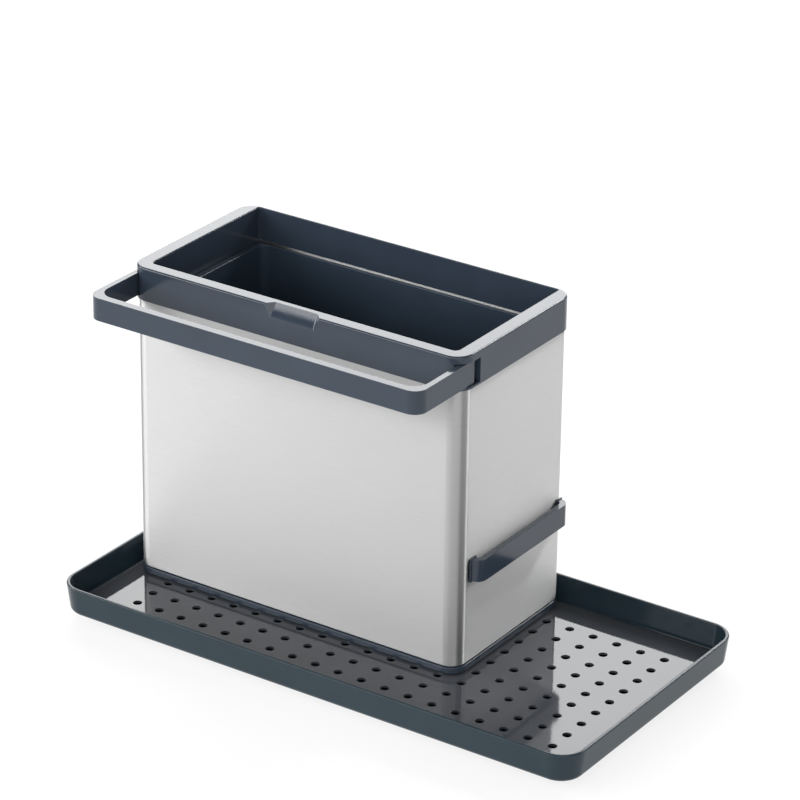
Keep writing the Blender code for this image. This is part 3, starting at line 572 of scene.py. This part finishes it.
def tray_profile(low, high, ledge_top):
    """Section of the tray, from under its well, over the rim, to the well's floor."""
    lean = math.tan(TRAY_DRAFT)
    bottom = low.z + WELL_DROP
    well_outer = (high.z - bottom) * lean + WELL_INSET
    well_inner = well_outer + WELL_WALL
    floor_top = ledge_top - WELL_DROP
    heel_height = bottom + TRAY_HEEL_ROUND
    heel_inset = (high.z - heel_height) * lean + TRAY_HEEL_ROUND
    toe_height = ledge_top + TRAY_TOE_ROUND
    toe_inset = TRAY_WALL + (high.z - toe_height) * lean + TRAY_TOE_ROUND
    rim_height = high.z - TRAY_EDGE_ROUND
    back_inset = TRAY_WALL - TRAY_EDGE_ROUND
    profile = [(well_outer + WELL_ROUND, low.z), (well_outer, low.z + WELL_ROUND), (well_outer, bottom)]
    profile += arc((heel_inset, heel_height), TRAY_HEEL_ROUND, 3 * QUARTER, 2 * QUARTER, FILLET_STEPS)
    profile += arc((TRAY_EDGE_ROUND, rim_height), TRAY_EDGE_ROUND, 2 * QUARTER, QUARTER, FILLET_STEPS)
    profile += arc((back_inset, rim_height), TRAY_EDGE_ROUND, QUARTER, 0, FILLET_STEPS)
    profile += arc((toe_inset, toe_height), TRAY_TOE_ROUND, 2 * QUARTER, 3 * QUARTER, FILLET_STEPS)
    profile.append((well_inner, ledge_top))
    profile.append((well_inner, floor_top + WELL_ROUND))
    profile.append((well_inner + WELL_ROUND, floor_top))
    return profile, well_inner, floor_top


def stud_places(low, high, well):
    """Places of the studs that carry the plate over the well."""
    places = []
    for column in range(STUD_COLUMNS):
        for row in range(STUD_ROWS):
            across = (column + 1) / (STUD_COLUMNS + 1)
            deep = (row + 1) / (STUD_ROWS + 1)
            x = low.x + well + (high.x - low.x - 2 * well) * across
            y = low.y + well + (high.y - low.y - 2 * well) * deep
            places.append((x, y))
    return places


def recess_tool(name, nodes, bottom):
    """Tool for the round recesses that a row of feet or pads sits in."""
    places = []
    for node in nodes:
        low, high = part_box(node)
        places.append(((low.x + high.x) / 2, (low.y + high.y) / 2))
    radius = (high.x - low.x) / 2 + CLEARANCE
    return discs(name, places, radius, bottom - OVERRUN, high.z + CLEARANCE, DISC_SIDES)


def make_tray(material):
    """The drafted outer tray with its sunk well."""
    low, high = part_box("drip_tray")
    ledge_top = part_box("drip_plate")[0].z - CLEARANCE
    profile, well, floor_top = tray_profile(low, high, ledge_top)
    tray = loft("tray_shell", low, high, TRAY_CORNER, profile)
    places = stud_places(low, high, well)
    stud_tool = discs("studs", places, STUD_RADIUS, floor_top - CLEARANCE, ledge_top, STUD_SIDES)
    combine(tray, stud_tool, "UNION")
    feet = [f"tray_foot_{index + 1}" for index in range(SOLE_COUNT)]
    combine(tray, recess_tool("foot_recesses", feet, low.z), "DIFFERENCE")
    even_normals(tray)
    stand_for(tray, "drip_tray", "tray", material)


def make_sole(node, body, material):
    """A foot or pad: a disc with a rounded edge and a shallow ring groove below."""
    low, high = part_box(node)
    radius = (high.x - low.x) / 2
    centre = ((low.x + high.x) / 2, (low.y + high.y) / 2)
    groove_inner = radius * SOLE_GROOVE_SHARES[0]
    groove_outer = radius * SOLE_GROOVE_SHARES[1]
    groove_top = low.z + SOLE_GROOVE_DEPTH
    section = [
        (groove_inner - SOLE_GROOVE_DEPTH, low.z),
        (groove_inner, groove_top),
        (groove_outer, groove_top),
        (groove_outer + SOLE_GROOVE_DEPTH, low.z),
    ]
    section += arc((radius - SOLE_ROUND, low.z + SOLE_ROUND), SOLE_ROUND, -QUARTER, 0, FILLET_STEPS)
    section.append((radius, high.z))
    loops = []
    for distance, height in section:
        ring = arc(centre, distance, 0, TURN, DISC_SIDES)[:-1]
        loops.append([(x, y, height) for x, y in ring])
    sole = skin(node + "_sole", loops)
    stand_for(sole, node, body, material)


def hole_centres(low, high):
    """Centres of the drain holes in straight rows, as many as the plate takes."""
    first_column = low.x + HOLE_LEFT_MARGIN
    first_row = low.y + HOLE_FRONT_MARGIN
    columns = int((high.x - first_column - HOLE_RIGHT_MARGIN) / HOLE_PITCH) + 1
    rows = int((high.y - first_row - HOLE_BACK_MARGIN) / HOLE_ROW_PITCH) + 1
    centres = []
    for row in range(rows):
        for column in range(columns):
            centres.append((first_column + column * HOLE_PITCH, first_row + row * HOLE_ROW_PITCH))
    return centres


def make_plate(material):
    """The perforated plate, with its hole rims rolled over."""
    low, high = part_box("drip_plate")
    corner = TRAY_CORNER - (low.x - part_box("drip_tray")[0].x)
    outlines = [rounded_outline(low, high, corner, corner)]
    for centre in hole_centres(low, high):
        outlines.append(arc(centre, HOLE_RADIUS, 0, TURN, HOLE_SIDES)[:-1])
    plate = slab("perforated_plate", outlines, low.z, high.z)
    round_edges(plate, PLATE_EDGE_ROUND)
    even_normals(plate)
    stand_for(plate, "drip_plate", "plate", material)


def base_profile(bottom, upstand_top):
    """Section of the base, from its underside to the floor inside the upstand."""
    ledge_top = bottom + BASE_LEDGE_HEIGHT
    neck_top = ledge_top + BASE_NECK_HEIGHT
    upstand_inset = SLEEVE_WALL + HEM_WIDTH + CLEARANCE
    inner_inset = upstand_inset + BASE_UPSTAND_WALL
    middle = BASE_EDGE_ROUND - BASE_PROUD
    lower = (middle, bottom + BASE_EDGE_ROUND)
    upper = (middle, ledge_top - BASE_EDGE_ROUND)
    profile = arc(lower, BASE_EDGE_ROUND, 3 * QUARTER, 2 * QUARTER, FILLET_STEPS)
    profile += arc(upper, BASE_EDGE_ROUND, 2 * QUARTER, QUARTER, FILLET_STEPS)
    profile += [(BASE_NECK_INSET, ledge_top), (BASE_NECK_INSET, neck_top), (upstand_inset, neck_top)]
    centre = (upstand_inset + BASE_EDGE_ROUND, upstand_top - BASE_EDGE_ROUND)
    profile += arc(centre, BASE_EDGE_ROUND, 2 * QUARTER, QUARTER, FILLET_STEPS)
    profile += [(inner_inset, upstand_top), (inner_inset, bottom + BASE_FLOOR)]
    return profile


def make_base(material):
    """The moulded base round the foot of the sleeve."""
    low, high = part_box("caddy_base")
    sleeve_low, sleeve_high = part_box("steel_sleeve")
    profile = base_profile(low.z, high.z)
    base = loft("base_moulding", sleeve_low, sleeve_high, SLEEVE_CORNER, profile)
    pads = [f"base_pad_{index + 1}" for index in range(SOLE_COUNT)]
    combine(base, recess_tool("pad_recesses", pads, low.z), "DIFFERENCE")
    even_normals(base)
    stand_for(base, "caddy_base", "caddy", material)


def sleeve_profile(bottom, top):
    """Section of the sleeve's wall, with the hem turned in at its foot."""
    bend = arc((HEM_BEND, bottom + HEM_BEND), HEM_BEND, 3 * QUARTER, 2 * QUARTER, FILLET_STEPS)
    hem_end = SLEEVE_WALL + HEM_WIDTH
    profile = [(hem_end, bottom)] + bend
    profile += [(0, top), (SLEEVE_WALL, top)]
    profile += [(SLEEVE_WALL, bottom + SLEEVE_WALL), (hem_end, bottom + SLEEVE_WALL)]
    return profile


def bar_corners():
    """Two opposite corners of the bar, without its foot plates."""
    low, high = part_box("side_bar")
    margin = Vector((0, FOOT_PLATE_REACH, FOOT_PLATE_PROUD))
    return low + margin, high - margin


def bar_leg_middles():
    """Middles of the bar's two legs along the side of the sleeve."""
    low, high = bar_corners()
    return low.y + BAR_THICKNESS / 2, high.y - BAR_THICKNESS / 2


def tab_levels():
    """Bottom and top of the bar's tabs."""
    low, high = bar_corners()
    middle = (low.z + high.z) / 2
    return middle - TAB_HEIGHT / 2, middle + TAB_HEIGHT / 2


def make_sleeve(material):
    """The brushed sleeve, with the slots that the bar's tabs pass through."""
    low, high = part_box("steel_sleeve")
    sleeve = loft("sleeve_sheet", low, high, SLEEVE_CORNER, sleeve_profile(low.z, high.z), ring=True)
    bottom, top = tab_levels()
    half_slot = TAB_THICKNESS / 2 + TAB_HOOK + CLEARANCE
    for middle in bar_leg_middles():
        slot_low = (high.x - OVERRUN, middle - half_slot, bottom - CLEARANCE)
        slot_high = (high.x + OVERRUN, middle + half_slot, top + CLEARANCE)
        combine(sleeve, box("slot", slot_low, slot_high), "DIFFERENCE")
    even_normals(sleeve)
    stand_for(sleeve, "steel_sleeve", "caddy", material)


def make_collar(material):
    """The collar: the CAD solid's own faces, welded, with every sharp edge rounded."""
    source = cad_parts["rim_collar"]
    build = bmesh.new()
    build.from_mesh(source.data)
    bmesh.ops.remove_doubles(build, verts=build.verts, dist=WELD)
    bmesh.ops.dissolve_limit(build, angle_limit=FLAT_ANGLE, verts=build.verts, edges=build.edges)
    collar = new_piece("collar_moulding", build)
    round_edges(collar, COLLAR_EDGE_ROUND)
    even_normals(collar)
    stand_for(collar, "rim_collar", "caddy", material)


def make_liner(material):
    """The lift-out liner with its lip."""
    low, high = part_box("liner")
    body_low = (low.x + LEDGE_WIDTH, low.y + LEDGE_WIDTH)
    body_high = (high.x - LEDGE_WIDTH, high.y)
    lean = math.tan(LINER_DRAFT)
    heel_height = low.z + LINER_HEEL_ROUND
    heel_inset = (high.z - heel_height) * lean + LINER_HEEL_ROUND
    inner_round = LINER_HEEL_ROUND - LINER_WALL
    toe_height = low.z + LINER_FLOOR + inner_round
    toe_inset = LINER_WALL + (high.z - toe_height) * lean + inner_round
    lip_bottom = high.z - LINER_LIP
    outside = arc((heel_inset, heel_height), LINER_HEEL_ROUND, 3 * QUARTER, 2 * QUARTER, FILLET_STEPS)
    outside.append(((high.z - lip_bottom) * lean, lip_bottom))
    loops = [inset_loop(body_low, body_high, LINER_CORNER, inset, z) for inset, z in outside]
    front_corner = COLLAR_FRONT_CORNER - CLEARANCE
    rim = [(0, lip_bottom)]
    centre = (LINER_LIP_ROUND, high.z - LINER_LIP_ROUND)
    rim += arc(centre, LINER_LIP_ROUND, 2 * QUARTER, QUARTER, FILLET_STEPS)
    for inset, z in rim:
        lip_low = (low.x + inset, low.y + inset)
        lip_high = (high.x - inset, high.y - inset)
        back_corner = max(COLLAR_BACK_CORNER - inset, LEAST_RADIUS)
        outline = rounded_outline(lip_low, lip_high, front_corner - inset, back_corner)
        loops.append([(x, y, z) for x, y in outline])
    centre = (LINER_WALL - LINER_LIP_ROUND, high.z - LINER_LIP_ROUND)
    inside = arc(centre, LINER_LIP_ROUND, QUARTER, 0, FILLET_STEPS)
    inside += arc((toe_inset, toe_height), inner_round, 2 * QUARTER, 3 * QUARTER, FILLET_STEPS)
    loops += [inset_loop(body_low, body_high, LINER_CORNER, inset, z) for inset, z in inside]
    liner = skin("liner_tub", loops)
    even_normals(liner)
    stand_for(liner, "liner", "liner", material)


def rail_outline(low, high, end):
    """Plan outline of the rail's bar and arms, from the end of the right arm."""
    middle = (low.x + high.x) / 2
    reach = high.x - middle
    inner_x = reach - ARM_THICKNESS
    inner_front = low.y + RAIL_THICKNESS
    nose = ARM_THICKNESS / 2
    right = [(inner_x, end)]
    right += arc((reach - nose, end - nose), nose, QUARTER, 0, FILLET_STEPS)
    right += arc((reach - RAIL_CORNER, low.y + RAIL_CORNER), RAIL_CORNER, 0, -QUARTER, CORNER_STEPS)
    left = [(-x, y) for x, y in reversed(right)]
    inner = inner_x - RAIL_INNER_CORNER
    deep = inner_front + RAIL_INNER_CORNER
    inside = arc((-inner, deep), RAIL_INNER_CORNER, 2 * QUARTER, 3 * QUARTER, FILLET_STEPS)
    inside += arc((inner, deep), RAIL_INNER_CORNER, -QUARTER, 0, FILLET_STEPS)
    return [(middle + x, y) for x, y in right + left + inside]


def make_rail(material):
    """The towel rail with its two tongues."""
    low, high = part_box("towel_rail")
    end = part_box("steel_sleeve")[0].y + ARM_OVERLAP
    rail = slab("rail_moulding", [rail_outline(low, high, end)], low.z, high.z)
    round_edges(rail, RAIL_EDGE_ROUND, RAIL_EDGE_STEPS)
    for side in (-1, 1):
        arm_face = high.x if side > 0 else low.x
        outer = arm_face - side * TONGUE_SETBACK
        inner = outer - side * TONGUE_THICKNESS
        tongue_low = (min(inner, outer), end - ARM_THICKNESS, low.z + RAIL_EDGE_ROUND)
        tongue_high = (max(inner, outer), high.y, high.z - RAIL_EDGE_ROUND)
        combine(rail, box("tongue", tongue_low, tongue_high), "UNION")
    even_normals(rail)
    stand_for(rail, "towel_rail", "rail", material)


def bar_outline(root, low, high):
    """Plan outline of the side bar, a U that opens towards the sleeve."""
    inner = high.x - BAR_THICKNESS
    points = [(root, low.y)]
    reach = high.x - BAR_CORNER
    points += arc((reach, low.y + BAR_CORNER), BAR_CORNER, -QUARTER, 0, CORNER_STEPS)
    points += arc((reach, high.y - BAR_CORNER), BAR_CORNER, 0, QUARTER, CORNER_STEPS)
    points += [(root, high.y), (root, high.y - BAR_THICKNESS)]
    reach = inner - BAR_INNER_CORNER
    far = high.y - BAR_THICKNESS - BAR_INNER_CORNER
    near = low.y + BAR_THICKNESS + BAR_INNER_CORNER
    points += arc((reach, far), BAR_INNER_CORNER, QUARTER, 0, FILLET_STEPS)
    points += arc((reach, near), BAR_INNER_CORNER, 0, -QUARTER, FILLET_STEPS)
    points.append((root, low.y + BAR_THICKNESS))
    return points


def tab_outline(face, tip, middle):
    """Plan outline of a tab that passes the sleeve's wall and hooks behind it."""
    half = TAB_THICKNESS / 2
    behind = face - SLEEVE_WALL - CLEARANCE
    root = face + CLEARANCE + TAB_THICKNESS
    points = [(root, middle - half), (root, middle + half), (behind, middle + half)]
    points += [(behind, middle + half + TAB_HOOK), (tip, middle + half), (tip, middle - half)]
    return points


def join_foot_plates(bar, root, low, high):
    """Join on the thin plates at the roots of the bar's legs."""
    for near in (low.y, high.y - BAR_THICKNESS):
        far = near + BAR_THICKNESS + FOOT_PLATE_REACH
        plate_low = (root, near - FOOT_PLATE_REACH, low.z - FOOT_PLATE_PROUD)
        plate_high = (root + FOOT_PLATE_THICKNESS, far, high.z + FOOT_PLATE_PROUD)
        plate = box("foot_plate", plate_low, plate_high)
        round_edges(plate, FOOT_PLATE_ROUND)
        combine(bar, plate, "UNION")


def make_side_bar(material):
    """The bar clipped to the right side of the sleeve."""
    low, high = bar_corners()
    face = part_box("steel_sleeve")[1].x
    outline = bar_outline(face + CLEARANCE, low, high)
    bar = slab("bar_moulding", [outline], low.z, high.z)
    round_edges(bar, BAR_EDGE_ROUND, BAR_EDGE_STEPS)
    join_foot_plates(bar, face + CLEARANCE, low, high)
    bottom, top = tab_levels()
    for middle in bar_leg_middles():
        combine(bar, slab("tab", [tab_outline(face, low.x, middle)], bottom, top), "UNION")
    even_normals(bar)
    stand_for(bar, "side_bar", "caddy", material)


def make_pieces():
    """Every piece of the organizer, each with its own finish."""
    gloss = moulded_plastic("anthracite_gloss_finish", *GLOSS)
    tray_gloss = moulded_plastic("tray_gloss_finish", *TRAY_GLOSS)
    mirror = moulded_plastic("plate_gloss_finish", *PLATE_GLOSS)
    satin = moulded_plastic("liner_finish", *LINER_SATIN)
    rubber = silicone()
    make_tray(tray_gloss)
    make_plate(mirror)
    make_base(gloss)
    make_sleeve(brushed_steel())
    make_collar(gloss)
    make_liner(satin)
    make_rail(gloss)
    make_side_bar(gloss)
    for index in range(SOLE_COUNT):
        make_sole(f"tray_foot_{index + 1}", "tray", rubber)
        make_sole(f"base_pad_{index + 1}", "caddy", rubber)


def make_camera():
    """The camera at the photograph's viewing angle."""
    data = bpy.data.cameras.new("photo_camera")
    data.lens = CAMERA_LENS
    data.sensor_width = CAMERA_SENSOR
    camera = bpy.data.objects.new("photo_camera", data)
    turn = Matrix.Rotation(CAMERA_YAW, 4, "Z")
    tilt = Matrix.Rotation(QUARTER - CAMERA_PITCH, 4, "X")
    roll = Matrix.Rotation(-CAMERA_ROLL, 4, "Z")
    rotation = turn @ tilt @ roll
    place = Vector(CAMERA_TARGET) + rotation.to_3x3() @ Vector((0, 0, CAMERA_DISTANCE))
    camera.matrix_world = Matrix.Translation(place) @ rotation
    bpy.context.scene.collection.objects.link(camera)
    bpy.context.scene.camera = camera


def soft_light(name, azimuth, elevation, distance, width, height, radiance):
    """A rectangular soft light aimed at the middle of the object."""
    data = bpy.data.lights.new(name, "AREA")
    data.shape = "RECTANGLE"
    data.size = width
    data.size_y = height
    data.energy = radiance * math.pi * width * height
    turn = math.radians(azimuth)
    rise = math.radians(elevation)
    level = math.cos(rise)
    direction = Vector((level * math.cos(turn), level * math.sin(turn), math.sin(rise)))
    place = Vector(LIGHT_AIM) + direction * distance
    aim = direction.to_track_quat("Z", "Y").to_matrix().to_4x4()
    light = bpy.data.objects.new(name, data)
    light.matrix_world = Matrix.Translation(place) @ aim
    light.visible_camera = False
    bpy.context.scene.collection.objects.link(light)


def make_floor():
    """A pale floor with a soft glow of its own, like a light table."""
    build = bmesh.new()
    bmesh.ops.create_grid(build, x_segments=1, y_segments=1, size=FLOOR_REACH)
    floor = new_piece("studio_floor", build)
    material, tree, shader = new_material("studio_floor_finish")
    place = add(tree, "ShaderNodeTexCoord").outputs["Object"]
    tone = spread(tree, noise(tree, place, *FLOOR_NOISE), NOISE_RANGE, FLOOR_TONES)
    tree.links.new(tone, shader.inputs["Base Color"])
    shader.inputs["Roughness"].default_value = FLOOR_ROUGHNESS
    shader.inputs["Specular IOR Level"].default_value = FLOOR_SPECULAR
    shader.inputs["Emission Color"].default_value = WHITE
    shader.inputs["Emission Strength"].default_value = FLOOR_GLOW
    floor.data.materials.append(material)


def make_room():
    """An even, dim room round the object."""
    world = bpy.data.worlds.new("studio_room")
    world.use_nodes = True
    background = world.node_tree.nodes["Background"]
    background.inputs["Color"].default_value = WHITE
    background.inputs["Strength"].default_value = ROOM_STRENGTH
    bpy.context.scene.world = world


def make_studio():
    """The floor, the room and the soft lights."""
    make_floor()
    make_room()
    for name, values in LIGHTS.items():
        soft_light(name, *values)


def main():
    """Dress the frame, set the camera and the studio."""
    bpy.context.scene.view_settings.view_transform = "Standard"
    make_pieces()
    make_camera()
    make_studio()


main()
